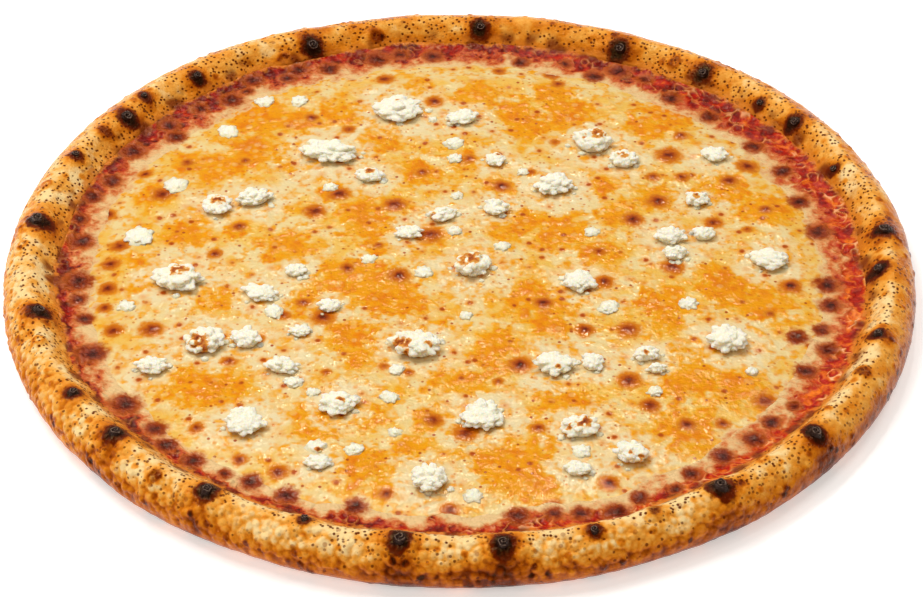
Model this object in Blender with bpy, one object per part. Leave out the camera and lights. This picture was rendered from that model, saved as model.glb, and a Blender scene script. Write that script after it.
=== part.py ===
"""A round cheese pizza at its real size.

Its pieces are a crust with a raised, blistered rim, a layer of tomato sauce that shows as a ring
inside the rim, a sheet of melted cheese that lies on the sauce, and the crumbles of soft white cheese
that lie on the sheet. Sizes are in metres, +Z is up, and the origin is the centre of the flat underside.
"""

import math

import bmesh
import bpy
import numpy as np
from mathutils import Matrix, Vector, noise

MM = 0.001

# Crust
PIZZA_RADIUS = 150 * MM
OUTLINE_WAVE = 1.2 * MM  # how uneven the round outline is
# Where it is fuller than round: the middle and the spread in degrees, and how much in millimetres.
SWELLS = ((134, 32, 3.8), (38, 24, 2.3))
CREST_HEIGHT = 15.5 * MM  # top of the rim above the table
CREST_WAVE = 1.4 * MM
CREST_INSET = 8.8 * MM  # from the outer edge in to the top of the rim
SIDE_HEIGHT = 6.5 * MM  # height of the rim's widest point
FOOT_INSET = 7 * MM  # from the outer edge in to where the underside meets the table
DOUGH_THICKNESS = 6 * MM
DOUGH_LUMP_SIZE = 7 * MM
DOUGH_LUMP_HEIGHT = 0.5 * MM
SLOPE_STEPS = 4  # faces from the sauce line up to the crest
SIDE_STEPS = 4  # faces from the crest down to the widest point
UNDER_STEPS = 3  # faces from there to the underside
CRUST_SEGMENTS = 180

# Sauce: its edge lies against the inner wall of the rim
SAUCE_LINE_CENTRE = Vector((0.5 * MM, -0.7 * MM))
SAUCE_LINE_RADIUS = 133.5 * MM
SAUCE_LINE_HEIGHT = 10 * MM
SAUCE_LINE_WAVE = 2 * MM
WALL_LEAN = 0.8 * MM
SAUCE_UNDER_CHEESE = 1.4 * MM  # thickness where cheese covers it
SAUCE_RING_HEIGHT = 9.2 * MM  # surface of the ring that shows
SAUCE_LUMP_SIZE = 5 * MM
SAUCE_LUMP_HEIGHT = 1.6 * MM
SAUCE_RING_STEPS = 3
SAUCE_SEGMENTS = 120

# Melted cheese
CHEESE_CENTRE = Vector((-1.5 * MM, -2.5 * MM))
CHEESE_RADIUS = 121.5 * MM
CHEESE_EDGE_WAVE = 5 * MM
CHEESE_EDGE_RIPPLE = 3 * MM
CHEESE_EDGE_THICKNESS = 0.9 * MM
CHEESE_EDGE_SLOPE = 5 * MM  # how far in from its edge the sheet reaches its full thickness
CHEESE_TOP = 10.4 * MM
CHEESE_WAVE_SIZE = 24 * MM
CHEESE_WAVE_HEIGHT = 1 * MM
CHEESE_CELL = 10.5 * MM  # spacing of the sheet's vertices
CHEESE_EDGE_SEGMENTS = 120

GAP = 0.35 * MM  # clear space between pieces that rest on each other
SAUCE_EDGE_GAP = 0.6 * MM  # more where two wavy edges meet, whose vertices don't match
CHEESE_EDGE_GAP = 1 * MM  # the sauce stays flat this far on each side of the sheet's edge

# Charred blisters on the rim: angle in degrees, distance from the centre and width in millimetres.
BLISTERS = (
    (4, 141, 9), (-4, 137, 9), (-19, 140, 7), (-27, 141, 5), (-36, 138, 4), (-41, 143, 9),
    (-49, 139, 4), (-57, 142, 10), (-66, 141, 5), (-74, 143, 6), (-85, 144, 9), (-97, 143, 9),
    (-109, 140, 6), (-122, 142, 9), (-129, 145, 5), (-138, 141, 9), (-148, 141, 7), (-160, 142, 4),
    (-166, 139, 9), (179, 144, 4), (174, 141, 10), (165, 145, 4), (158, 142, 6), (151, 141, 5),
    (146, 140, 9), (141, 143, 6), (132, 140, 7), (129, 132, 5), (118, 136, 4), (113, 137, 10),
    (103, 137, 5), (87, 137, 8), (65, 136, 9), (56, 138, 4), (51, 138, 8), (40, 138, 6),
    (33, 139, 8), (21, 137, 6),
)
# The next six are shares of a blister's width.
KNOB_HEIGHT = 0.14
KNOB_REACH = 0.62  # from its centre out to where the knob ends
SWELLING_HEIGHT = 0.1  # the dough round the knob
SWELLING_SPREAD = 0.8
PUSH_OVER_SAUCE = 0.1  # how far the dough bulges inwards
FINE_REACH = 0.6  # from its centre out to where the crust's vertices stand closer together
FINE_SHARE = 2.2  # how much closer they stand

# Crumbles: centre x and y, length, width and height in millimetres, turn in degrees.
CRUMBLES = (
    (-22, 87.5, 19, 15, 7, 10), (-45, 61.5, 20, 13, 7, -8), (-31, 48, 11, 8, 5, 0), (-70, 34, 13, 9, 6, 15),
    (-82, 30, 11, 12, 5, 0), (-17, 15, 10, 7, 4, 0), (-6, 25, 10, 8, 5.5, 25), (1, 83, 12, 9, 5, 10),
    (46, 67, 15, 13, 7.5, -20), (56.5, 56.5, 10, 10, 6, 0), (88, 60, 10, 9, 5, 0),
    (32, 42, 14, 12, 6, 30), (12, 57, 8, 8, 4, 0), (12, 29, 10, 9, 5, 0), (80, 34, 9, 8, 5, 0),
    (70, 12.5, 11, 9, 6, 0), (71, 3, 9, 7, 5, 0), (81.5, 14, 9, 7, 5, 15), (102, 0, 15, 10, 6, -10),
    (4, -4, 13, 13, 7, 0), (-92, -11, 17, 14, 7, 0), (-54, -6, 8, 7, 4, 0), (-65, -18, 12, 9, 4.5, -20),
    (-42, -25, 9, 7, 4, 0), (-81, -43, 14, 14, 6.5, 0), (-68, -41.5, 10, 11, 5.5, 0),
    (-51, -38, 8, 6, 3.5, 0), (-56, -56, 11, 8, 5, -15), (-97, -56, 11, 9, 5, 0),
    (-37.5, -74.5, 13, 11, 6, 0), (-66, -84, 13, 13, 6, 0), (-43, -102, 9, 7, 4, 0),
    (-9, -110, 13, 12, 6, 0), (-14, -46, 17, 14, 8, -15), (39, -12, 12, 11, 6, 0),
    (85, -43, 14, 14, 7, 0), (30, -55, 14, 11, 6, 0), (42, -54, 8, 9, 5, 0), (59, -50, 10, 7, 5, 0),
    (62, -57, 7, 4.5, 4, 0), (7, -80, 14, 14, 6, 60), (37, -86, 13, 11, 6, 0),
    (52, -98, 11, 10, 6, 0), (35.5, -105, 9, 7, 4, 0),
)
LARGE_CRUMBLE = 11 * MM  # longer ones get more faces
LARGE_CRUMBLE_FACES = (14, 5)  # round the crumble, and from its top to its base
SMALL_CRUMBLE_FACES = (10, 4)

# Crumbs, which have half sunk into the sheet: centre x and y, width and height in millimetres.
CRUMBS = (
    (-69, 95, 8, 2.5), (-57, 94, 7, 2.2), (-81, 76, 9, 2.5), (-44, 42, 6, 2.5), (-97, 43, 10, 2.2),
    (-107, 14, 11, 2.5), (-2, 17, 6, 3), (-1, 37, 5, 2), (-2, 68, 8, 3), (-2, 59, 6, 2.5),
    (-9.5, 83, 4, 2.2), (21.5, 51, 5, 2), (44, 16, 6, 2), (14, 8, 6, 2), (-30, 1, 6, 2.5),
    (-12, -6, 7, 3), (-60, -27, 8, 2.5), (-108, -24, 7, 2.5), (-52, -63, 7, 2.5), (-46, -68, 5, 2),
    (-22, -70, 7, 3), (-20, -57, 6, 2.5), (-20, -87, 5, 2), (-44, -94, 7, 3), (-32, -95, 7, 2.5),
    (48, -24, 8, 2.5), (74, -23, 7, 3), (92, -58, 5, 3), (61, -67, 6, 2), (37, -96, 7, 2.5),
    (2, -29, 5, 2), (4, -116, 7, 2),
)
CRUMB_FACES = (8, 2)
CRUMB_SUNK = 0.7 * MM

CURD_SIZE = 4.5 * MM  # width of one curd in a crumble's lumpy skin
CURD_DEPTH = 0.3  # how deep the creases between curds are, of the crumble's own radius
OVERHANG_DEGREES = 104  # a crumble is widest just above its base
DOME_WAIST = 0.2  # of its height, where a crumble is widest


def mix(a, b, share):
    return a + (b - a) * share


def smooth(share):
    """Rises from 0 to 1 as share does, with no corner at either end."""
    share = min(1.0, max(0.0, share))
    return share * share * (3 - 2 * share)


def round_noise(angle, lobes, salt):
    """Smooth noise from about -0.5 to 0.5 that closes on itself round the pizza."""
    return 0.5 * noise.noise(Vector((math.cos(angle) * lobes, math.sin(angle) * lobes, salt)))


def on_circle(centre, radius, angle):
    return Vector((centre.x + radius * math.cos(angle), centre.y + radius * math.sin(angle)))


def blister_places():
    """Each blister's centre seen from above, and its width."""
    return [
        (on_circle(Vector((0, 0)), radius * MM, math.radians(degrees)), width * MM)
        for degrees, radius, width in BLISTERS
    ]


BLISTER_PLACES = blister_places()


def blister_lift(spot):
    """How far the blisters raise the rim at a spot seen from above: a swelling, and a knob on it."""
    lift = 0.0
    for centre, width in BLISTER_PLACES:
        away = (spot - centre).length / width
        lift += width * SWELLING_HEIGHT * math.exp(-((away / SWELLING_SPREAD) ** 2))
        lift += width * KNOB_HEIGHT * smooth(1 - away / KNOB_REACH)
    return lift


def blister_push(angle):
    """How far the swellings press the rim inwards over the sauce at this angle."""
    spot = on_circle(SAUCE_LINE_CENTRE, SAUCE_LINE_RADIUS, angle)
    push = 0.0
    for centre, width in BLISTER_PLACES:
        push += width * PUSH_OVER_SAUCE * math.exp(-(((spot - centre).length / width - 1) ** 2))
    return push


def swell(angle):
    """How much fuller than a circle the whole pizza is at this angle."""
    extra = 0.0
    for degrees, spread, most in SWELLS:
        turn = math.remainder(angle - math.radians(degrees), 2 * math.pi)
        extra += most * MM * math.exp(-((turn / math.radians(spread)) ** 2))
    return extra


def outline(angle):
    return PIZZA_RADIUS + swell(angle) + OUTLINE_WAVE * round_noise(angle, lobes=5, salt=1.7)


def crest_height(angle):
    return CREST_HEIGHT + CREST_WAVE * round_noise(angle, lobes=6, salt=4.2)


def sauce_line(angle):
    """Distance from the origin to the line where the sauce meets the rim."""
    wave = swell(angle) + SAUCE_LINE_WAVE * round_noise(angle, lobes=9, salt=7.9)
    spot = on_circle(SAUCE_LINE_CENTRE, SAUCE_LINE_RADIUS + wave - blister_push(angle), angle)
    return spot.length


def cheese_edge(angle):
    """Radius of the cheese sheet about its own centre."""
    broad = CHEESE_EDGE_WAVE * round_noise(angle, lobes=7, salt=3.3)
    fine = CHEESE_EDGE_RIPPLE * round_noise(angle, lobes=16, salt=5.1)
    return CHEESE_RADIUS + broad + fine


CHEESE_BOTTOM = DOUGH_THICKNESS + SAUCE_UNDER_CHEESE + 2 * GAP


def cheese_height(spot):
    """Height of the melted sheet's surface: gently uneven, and rounded down to its edge."""
    wave = noise.noise(Vector((spot.x / CHEESE_WAVE_SIZE, spot.y / CHEESE_WAVE_SIZE, 2.6)))
    full = CHEESE_TOP + 0.5 * CHEESE_WAVE_HEIGHT * wave
    arm = spot - CHEESE_CENTRE
    inset = cheese_edge(math.atan2(arm.y, arm.x)) - arm.length
    fall = 1 - min(1.0, max(0.0, inset / CHEESE_EDGE_SLOPE))
    return mix(CHEESE_BOTTOM + CHEESE_EDGE_THICKNESS, full, math.sqrt(1 - fall**2))


def spaced_angles(count):
    """Angles round the rim, closer together where a blister stands."""
    fine = np.linspace(-math.pi, math.pi, 20 * count, endpoint=False)
    weight = np.ones_like(fine)
    for centre, width in BLISTER_PLACES:
        turn = np.angle(np.exp(1j * (fine - math.atan2(centre.y, centre.x))))
        weight += FINE_SHARE * np.exp(-((turn * PIZZA_RADIUS / (FINE_REACH * width)) ** 2))
    travelled = np.cumsum(weight) / weight.sum()
    return np.interp(np.arange(count) / count, travelled, fine)


def even_angles(count):
    return [2 * math.pi * step / count for step in range(count)]


def add_ring(bm, points):
    return [bm.verts.new(point) for point in points]


def add_band(bm, first, second):
    """Triangles between two rings, which may have different numbers of vertices."""
    a, b = 0, 0
    while a < len(first) or b < len(second):
        here, there = first[a % len(first)], second[b % len(second)]
        if a == len(first) or (b < len(second) and b * len(first) <= a * len(second)):
            b += 1
            bm.faces.new((here, there, second[b % len(second)]))
        else:
            a += 1
            bm.faces.new((first[a % len(first)], here, there))


def add_cap(bm, ring, centre):
    middle = bm.verts.new(centre)
    for here, there in zip(ring, ring[1:] + ring[:1]):
        bm.faces.new((here, there, middle))


def make_object(name, bm, finish):
    """Turns the mesh into an object whose faces point out, with its material."""
    bmesh.ops.recalc_face_normals(bm, faces=bm.faces)
    mesh = bpy.data.meshes.new(name)
    bm.to_mesh(mesh)
    bm.free()
    mesh.shade_smooth()
    mesh.set_sharp_from_angle(angle=math.radians(50))
    mesh.materials.append(finish)
    made = bpy.data.objects.new(name, mesh)
    bpy.context.scene.collection.objects.link(made)
    return made


def make_finish(name, colour, roughness):
    finish = bpy.data.materials.new(name)
    finish.use_nodes = True
    shader = finish.node_tree.nodes["Principled BSDF"]
    shader.inputs["Base Color"].default_value = (*colour, 1)
    shader.inputs["Roughness"].default_value = roughness
    shader.inputs["Metallic"].default_value = 0
    finish.diffuse_color = (*colour, 1)
    return finish


def crust_section(angle):
    """The rim at this angle, as (radius, height) from its inner foot over the crest to its outer foot."""
    inner = sauce_line(angle)
    outer = outline(angle)
    crest = outer - CREST_INSET
    top = crest_height(angle)
    section = [(inner - WALL_LEAN, DOUGH_THICKNESS)]
    for step in range(SLOPE_STEPS + 1):
        share = step / SLOPE_STEPS
        rise = math.sin(math.pi / 2 * share)
        section.append((mix(inner, crest, share), mix(SAUCE_LINE_HEIGHT, top, rise)))
    for step in range(1, SIDE_STEPS + 1):
        turn = math.pi / 2 * step / SIDE_STEPS
        section.append((mix(crest, outer, math.sin(turn)), mix(SIDE_HEIGHT, top, math.cos(turn))))
    for step in range(1, UNDER_STEPS + 1):
        turn = math.pi / 2 * step / UNDER_STEPS
        section.append((outer - FOOT_INSET * (1 - math.cos(turn)), SIDE_HEIGHT * (1 - math.sin(turn))))
    return section


def crust_point(angle, section, step):
    """One vertex of the rim, raised along the section's own normal by blisters and lumps of dough."""
    radius, height = section[step]
    if 1 < step < len(section) - 1:
        along = Vector(section[step + 1]) - Vector(section[step - 1])
        across = Vector((-along.y, along.x)).normalized()
        spot = on_circle(Vector((0, 0)), radius, angle)
        lump = noise.noise(Vector((spot.x, spot.y, height)) / DOUGH_LUMP_SIZE)
        rise = 0.5 * DOUGH_LUMP_HEIGHT * lump
        rise += blister_lift(spot) * smooth(height / SIDE_HEIGHT - 1)
        radius += across.x * rise
        height += across.y * rise
    return Vector((radius * math.cos(angle), radius * math.sin(angle), height))


def build_crust(finish):
    """The dough: a flat base and its rounded, blistered rim in one piece."""
    bm = bmesh.new()
    angles = spaced_angles(CRUST_SEGMENTS)
    sections = [crust_section(angle) for angle in angles]
    rings = [
        add_ring(bm, [crust_point(angle, section, step) for angle, section in zip(angles, sections)])
        for step in range(len(sections[0]))
    ]
    for inner, outer in zip(rings, rings[1:]):
        add_band(bm, inner, outer)
    add_cap(bm, rings[0], (0, 0, DOUGH_THICKNESS))
    add_cap(bm, rings[-1], (0, 0, 0))
    make_object("crust", bm, finish)


def sauce_lump(spot):
    """The pulp's relief on the ring of sauce that shows."""
    return 0.5 * SAUCE_LUMP_HEIGHT * noise.noise(Vector((spot.x, spot.y, 0)) / SAUCE_LUMP_SIZE)


def build_sauce(finish):
    """A thin layer under the cheese that swells into a lumpy ring between the cheese and the rim."""
    bm = bmesh.new()
    bottom = DOUGH_THICKNESS + GAP
    under_cheese = bottom + SAUCE_UNDER_CHEESE

    def beside_cheese(angle, away):
        return on_circle(CHEESE_CENTRE, cheese_edge(angle) + away, angle)

    def beside_rim(angle, inset):
        return on_circle(Vector((0, 0)), sauce_line(angle) - SAUCE_EDGE_GAP - inset, angle)

    def ring_point(angle, share):
        """A point of the surface that shows, from the cheese at share 0 to the rim at share 1."""
        spot = beside_cheese(angle, CHEESE_EDGE_GAP).lerp(beside_rim(angle, 0), share)
        height = mix(under_cheese, SAUCE_RING_HEIGHT, smooth(share * SAUCE_RING_STEPS))
        return Vector((*spot, height + sauce_lump(spot) * smooth(share * SAUCE_RING_STEPS)))

    angles = even_angles(SAUCE_SEGMENTS)
    rings = [
        add_ring(bm, [Vector((*beside_cheese(angle, -CHEESE_EDGE_GAP), under_cheese)) for angle in angles])
    ]
    for step in range(SAUCE_RING_STEPS + 1):
        rings.append(add_ring(bm, [ring_point(angle, step / SAUCE_RING_STEPS) for angle in angles]))
    rings.append(add_ring(bm, [Vector((*beside_rim(angle, WALL_LEAN), bottom)) for angle in angles]))
    for inner, outer in zip(rings, rings[1:]):
        add_band(bm, inner, outer)
    add_cap(bm, rings[0], (*CHEESE_CENTRE, under_cheese))
    add_cap(bm, rings[-1], (0, 0, bottom))
    make_object("tomato_sauce", bm, finish)


def sheet_ring(bm, count, inset, share):
    """A ring of the sheet's surface, this share of the way out to the line that lies inset from its edge."""
    points = []
    for angle in even_angles(count):
        spot = on_circle(CHEESE_CENTRE, share * (cheese_edge(angle) - inset), angle)
        points.append(Vector((*spot, cheese_height(spot))))
    return add_ring(bm, points)


def build_plain_sheet(finish):
    """The melted sheet without its crumbs."""
    bm = bmesh.new()
    flat_radius = CHEESE_RADIUS - CHEESE_EDGE_SLOPE
    ring_count = round(flat_radius / CHEESE_CELL)
    rings = []
    for step in range(1, ring_count + 1):
        share = step / ring_count
        count = max(6, round(2 * math.pi * share * flat_radius / CHEESE_CELL))
        rings.append(sheet_ring(bm, count, CHEESE_EDGE_SLOPE, share))
    rings.append(sheet_ring(bm, CHEESE_EDGE_SEGMENTS, CHEESE_EDGE_SLOPE / 3, 1))
    rings.append(sheet_ring(bm, CHEESE_EDGE_SEGMENTS, 0, 1))
    foot = [
        on_circle(CHEESE_CENTRE, cheese_edge(angle) - CHEESE_EDGE_THICKNESS, angle)
        for angle in even_angles(CHEESE_EDGE_SEGMENTS)
    ]
    rings.append(add_ring(bm, [Vector((*spot, CHEESE_BOTTOM)) for spot in foot]))
    for inner, outer in zip(rings, rings[1:]):
        add_band(bm, inner, outer)
    add_cap(bm, rings[0], (*CHEESE_CENTRE, cheese_height(CHEESE_CENTRE)))
    add_cap(bm, rings[-1], (*CHEESE_CENTRE, CHEESE_BOTTOM))
    return make_object("melted_cheese", bm, finish)


def curd_reach(direction, radius):
    """How far a crumble's skin reaches in a direction, as a share of its plain dome: less in a crease."""
    distances, _ = noise.voronoi(direction * radius / CURD_SIZE)
    return 1 - CURD_DEPTH * min(1.0, distances[0]) ** 2


def build_dome(name, place, size, turn, faces, sunk, finish):
    """A lumpy dome of curds whose base follows the sheet, this far under its surface."""
    around, down = faces
    length, width, height = size
    turned = Matrix.Rotation(turn, 2)

    def base_height(spot):
        return cheese_height(spot) - sunk

    def skin(polar, azimuth):
        """A point of the dome, by its angles from straight up and round the upright."""
        side = Vector((math.cos(azimuth), math.sin(azimuth))) * math.sin(polar)
        direction = Vector((*side, math.cos(polar)))
        reach = curd_reach(direction + Vector((*place, 0)) / CURD_SIZE, length / 2)
        spot = place + turned @ Vector((side.x * length / 2, side.y * width / 2)) * reach
        rise = mix(DOME_WAIST * height, height, direction.z * reach)
        return Vector((*spot, max(base_height(place) + rise, base_height(spot))))

    bm = bmesh.new()
    rings = []
    for step in range(1, down + 1):
        polar = math.radians(OVERHANG_DEGREES) * step / down
        rings.append(add_ring(bm, [skin(polar, azimuth) for azimuth in even_angles(around)]))
    for vertex in rings[-1]:
        vertex.co.z = base_height(vertex.co.xy)
    for upper, lower in zip(rings, rings[1:]):
        add_band(bm, upper, lower)
    add_cap(bm, rings[0], skin(0, 0))
    add_cap(bm, rings[-1], (*place, base_height(place)))
    return make_object(name, bm, finish)


def build_crumbles(finish):
    for number, (x, y, length, width, height, degrees) in enumerate(CRUMBLES, 1):
        size = (length * MM, width * MM, height * MM)
        faces = LARGE_CRUMBLE_FACES if size[0] > LARGE_CRUMBLE else SMALL_CRUMBLE_FACES
        place = Vector((x, y)) * MM
        build_dome(f"crumble_{number:02d}", place, size, math.radians(degrees), faces, -GAP, finish)


def build_cheese(finish):
    """The melted sheet with its half-sunk crumbs fused to it."""
    sheet = build_plain_sheet(finish)
    crumbs = bpy.data.collections.new("crumbs")
    for number, (x, y, width, height) in enumerate(CRUMBS, 1):
        size = (width * MM, width * MM, (height * MM + CRUMB_SUNK))
        crumb = build_dome(
            f"crumb_{number:02d}", Vector((x, y)) * MM, size, 0, CRUMB_FACES, CRUMB_SUNK, finish
        )
        bpy.context.scene.collection.objects.unlink(crumb)
        crumbs.objects.link(crumb)
    union = sheet.modifiers.new("crumbs", "BOOLEAN")
    union.operation = "UNION"
    union.operand_type = "COLLECTION"
    union.collection = crumbs
    bpy.context.view_layer.objects.active = sheet
    bpy.ops.object.modifier_apply(modifier=union.name)
    for crumb in list(crumbs.objects):
        bpy.data.objects.remove(crumb)
    bpy.data.collections.remove(crumbs)


def main():
    for existing in list(bpy.data.objects):
        bpy.data.objects.remove(existing)
    build_crust(make_finish("baked_crust", (0.78, 0.47, 0.19), 0.6))
    build_sauce(make_finish("sauce", (0.55, 0.05, 0.02), 0.25))
    build_cheese(make_finish("melted_cheese", (0.9, 0.66, 0.3), 0.35))
    build_crumbles(make_finish("white_cheese", (0.93, 0.88, 0.78), 0.6))


main()
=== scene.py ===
"""The looks of a round cheese pizza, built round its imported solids.

Every solid is made again as a fine mesh of the same form: a blistered crust, a ring of glossy tomato
sauce, a browned sheet of melted cheese and crumbles of soft white cheese. Sizes are in metres, +Z is up.
"""

import math

import bmesh
import bpy
import numpy as np
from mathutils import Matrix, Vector, noise


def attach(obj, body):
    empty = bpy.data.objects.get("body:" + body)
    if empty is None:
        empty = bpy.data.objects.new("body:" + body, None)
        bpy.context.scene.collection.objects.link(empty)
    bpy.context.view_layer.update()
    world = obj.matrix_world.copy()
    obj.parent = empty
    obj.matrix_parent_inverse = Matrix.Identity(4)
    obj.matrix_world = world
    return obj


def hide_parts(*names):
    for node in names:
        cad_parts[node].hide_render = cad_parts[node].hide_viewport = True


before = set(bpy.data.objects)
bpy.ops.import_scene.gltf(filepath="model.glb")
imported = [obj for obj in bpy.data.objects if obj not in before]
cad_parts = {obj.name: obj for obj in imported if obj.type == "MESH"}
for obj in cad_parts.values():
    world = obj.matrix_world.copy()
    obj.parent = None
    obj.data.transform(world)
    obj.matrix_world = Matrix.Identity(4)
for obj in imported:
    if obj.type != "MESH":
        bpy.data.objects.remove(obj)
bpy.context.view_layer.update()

MM = 0.001
FULL_TURN = 2 * math.pi

# Form of the crust, as the solids have it
PIZZA_RADIUS = 150 * MM
OUTLINE_WAVE = 1.2 * MM
SWELLS = ((134, 32, 3.8), (38, 24, 2.3))  # middle and spread in degrees, millimetres fuller than round
CREST_HEIGHT = 15.5 * MM
CREST_WAVE = 1.4 * MM
CREST_INSET = 8.8 * MM
SIDE_HEIGHT = 6.5 * MM
FOOT_INSET = 7 * MM
DOUGH_THICKNESS = 6 * MM
DOUGH_LUMP_SIZE = 7 * MM
DOUGH_LUMP_HEIGHT = 0.5 * MM

# Form of the sauce and the melted sheet, as the solids have it
SAUCE_LINE_CENTRE = (0.5 * MM, -0.7 * MM)
SAUCE_LINE_RADIUS = 133.5 * MM
SAUCE_LINE_HEIGHT = 10 * MM
SAUCE_LINE_WAVE = 2 * MM
WALL_LEAN = 0.8 * MM
SAUCE_BOTTOM = 6.35 * MM
SAUCE_RING_HEIGHT = 9.2 * MM
CHEESE_CENTRE = (-1.5 * MM, -2.5 * MM)
CHEESE_RADIUS = 121.5 * MM
CHEESE_EDGE_WAVE = 5 * MM
CHEESE_EDGE_RIPPLE = 3 * MM
CHEESE_BOTTOM = 8.1 * MM
CHEESE_TOP = 10.4 * MM
CHEESE_WAVE_SIZE = 24 * MM
CHEESE_WAVE_HEIGHT = 1 * MM

# Fineness of the meshes
CRUST_COLUMNS = 1680
SLOPE_ROWS = 18
SIDE_ROWS = 34
UNDER_ROWS = 4
SAUCE_COLUMNS = 1900
SAUCE_ROWS = 44
SHEET_CELL = 0.71 * MM
CRUMBLE_FINENESS = 5  # subdivisions of an icosahedron
CRUMB_FINENESS = 4
BIT_FINENESS = 3

# Charred blisters: angle in degrees, distance from the centre and width in millimetres.
BLISTERS = (
    (4, 141, 9), (-4, 137, 9), (-19, 140, 7), (-27, 141, 5), (-36, 138, 4), (-41, 143, 9),
    (-49, 139, 4), (-57, 142, 10), (-66, 141, 5), (-74, 143, 6), (-85, 144, 9), (-97, 143, 9),
    (-109, 140, 6), (-122, 142, 9), (-129, 145, 5), (-138, 141, 9), (-148, 141, 7), (-160, 142, 4),
    (-166, 139, 9), (179, 144, 4), (174, 141, 10), (165, 145, 4), (158, 142, 6), (151, 141, 5),
    (146, 140, 9), (141, 143, 6), (132, 140, 7), (129, 132, 5), (118, 136, 4), (113, 137, 10),
    (103, 137, 5), (87, 137, 8), (65, 136, 9), (56, 138, 4), (51, 138, 8), (40, 138, 6),
    (33, 139, 8), (21, 137, 6),
)
KNOB_WIDTH = 6 * MM  # narrower blisters are only browned
SWELLING_HEIGHT = 0.13  # this and the next two are shares of a blister's width
SWELLING_SPREAD = 0.8
PUSH_OVER_SAUCE = 0.1

# Crumbles: centre x and y, length, width and height in millimetres, turn in degrees.
CRUMBLES = (
    (-22, 87.5, 19, 15, 7, 10), (-45, 61.5, 20, 13, 7, -8), (-31, 48, 11, 8, 5, 0), (-70, 34, 13, 9, 6, 15),
    (-82, 30, 11, 12, 5, 0), (-17, 15, 10, 7, 4, 0), (-6, 25, 10, 8, 5.5, 25), (1, 83, 12, 9, 5, 10),
    (46, 67, 15, 13, 7.5, -20), (56.5, 56.5, 10, 10, 6, 0), (88, 60, 10, 9, 5, 0),
    (32, 42, 14, 12, 6, 30), (12, 57, 8, 8, 4, 0), (12, 29, 10, 9, 5, 0), (80, 34, 9, 8, 5, 0),
    (70, 12.5, 11, 9, 6, 0), (71, 3, 9, 7, 5, 0), (81.5, 14, 9, 7, 5, 15), (102, 0, 15, 10, 6, -10),
    (4, -4, 13, 13, 7, 0), (-92, -11, 17, 14, 7, 0), (-54, -6, 8, 7, 4, 0), (-65, -18, 12, 9, 4.5, -20),
    (-42, -25, 9, 7, 4, 0), (-81, -43, 14, 14, 6.5, 0), (-68, -41.5, 10, 11, 5.5, 0),
    (-51, -38, 8, 6, 3.5, 0), (-56, -56, 11, 8, 5, -15), (-97, -56, 11, 9, 5, 0),
    (-37.5, -74.5, 13, 11, 6, 0), (-66, -84, 13, 13, 6, 0), (-43, -102, 9, 7, 4, 0),
    (-9, -110, 13, 12, 6, 0), (-14, -46, 17, 14, 8, -15), (39, -12, 12, 11, 6, 0),
    (85, -43, 14, 14, 7, 0), (30, -55, 14, 11, 6, 0), (42, -54, 8, 9, 5, 0), (59, -50, 10, 7, 5, 0),
    (62, -57, 7, 4.5, 4, 0), (7, -80, 14, 14, 6, 60), (37, -86, 13, 11, 6, 0),
    (52, -98, 11, 10, 6, 0), (35.5, -105, 9, 7, 4, 0),
)

# Crumbs half sunk into the sheet: centre x and y, width and height in millimetres.
CRUMBS = (
    (-69, 95, 8, 2.5), (-57, 94, 7, 2.2), (-81, 76, 9, 2.5), (-44, 42, 6, 2.5), (-97, 43, 10, 2.2),
    (-107, 14, 11, 2.5), (-2, 17, 6, 3), (-1, 37, 5, 2), (-2, 68, 8, 3), (-2, 59, 6, 2.5),
    (-9.5, 83, 4, 2.2), (21.5, 51, 5, 2), (44, 16, 6, 2), (14, 8, 6, 2), (-30, 1, 6, 2.5),
    (-12, -6, 7, 3), (-60, -27, 8, 2.5), (-108, -24, 7, 2.5), (-52, -63, 7, 2.5), (-46, -68, 5, 2),
    (-22, -70, 7, 3), (-20, -57, 6, 2.5), (-20, -87, 5, 2), (-44, -94, 7, 3), (-32, -95, 7, 2.5),
    (48, -24, 8, 2.5), (74, -23, 7, 3), (92, -58, 5, 3), (61, -67, 6, 2), (37, -96, 7, 2.5),
    (2, -29, 5, 2), (4, -116, 7, 2),
)

# Oily orange patches of the sheet: x, y and radius in millimetres.
ORANGE_PATCHES = (
    (-70, 86, 10), (-57, 82, 8), (-40, 86, 9), (-28, 70, 9), (-72, 64, 10), (-93, 57, 6), (-80, 57, 7),
    (-86, 49, 5), (-15, 103, 5), (-56, 56, 4), (-13, 51, 7), (-33, 27, 8), (-30, 20, 8), (-22, 32, 5),
    (-43, 39, 5), (-10, 15, 7), (-103, 38, 6), (-90, 17, 8), (-75, 19, 5), (-58, 8, 8), (-28, 9, 5),
    (6, 99, 7), (20, 86, 8), (24, 78, 7), (38, 86, 9), (34, 99, 6), (73, 87, 9), (66, 79, 7), (3, 59, 5),
    (14, 43, 5), (88, 38, 7), (92, 46, 5), (103, 29, 8), (67, 35, 6), (53, 27, 6), (20, 22, 9),
    (32, 16, 9), (48, 43, 5), (45, 5, 6), (-35, -10, 12), (-22, -20, 10), (-80, -20, 8), (-103, -12, 5),
    (-105, -1, 5), (-50, -22, 6), (-34, -40, 8), (-32, -50, 6), (-86, -60, 10), (-75, -66, 10),
    (-42, -81, 9), (-30, -78, 7), (-8, -36, 5), (-8, -81, 6), (-15, -95, 6), (-30, -102, 8),
    (-22, -111, 6), (-68, -91, 5), (-5, -61, 6), (27, -20, 10), (67, -22, 8), (66, -31, 6), (87, -13, 9),
    (98, -23, 9), (12, -48, 9), (2, -63, 7), (33, -72, 9), (75, -51, 8), (70, -63, 9), (86, -66, 9),
    (95, -71, 5), (70, -85, 9), (15, -100, 12), (22, -110, 8), (24, -85, 4), (28, -34, 6),
)

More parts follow.
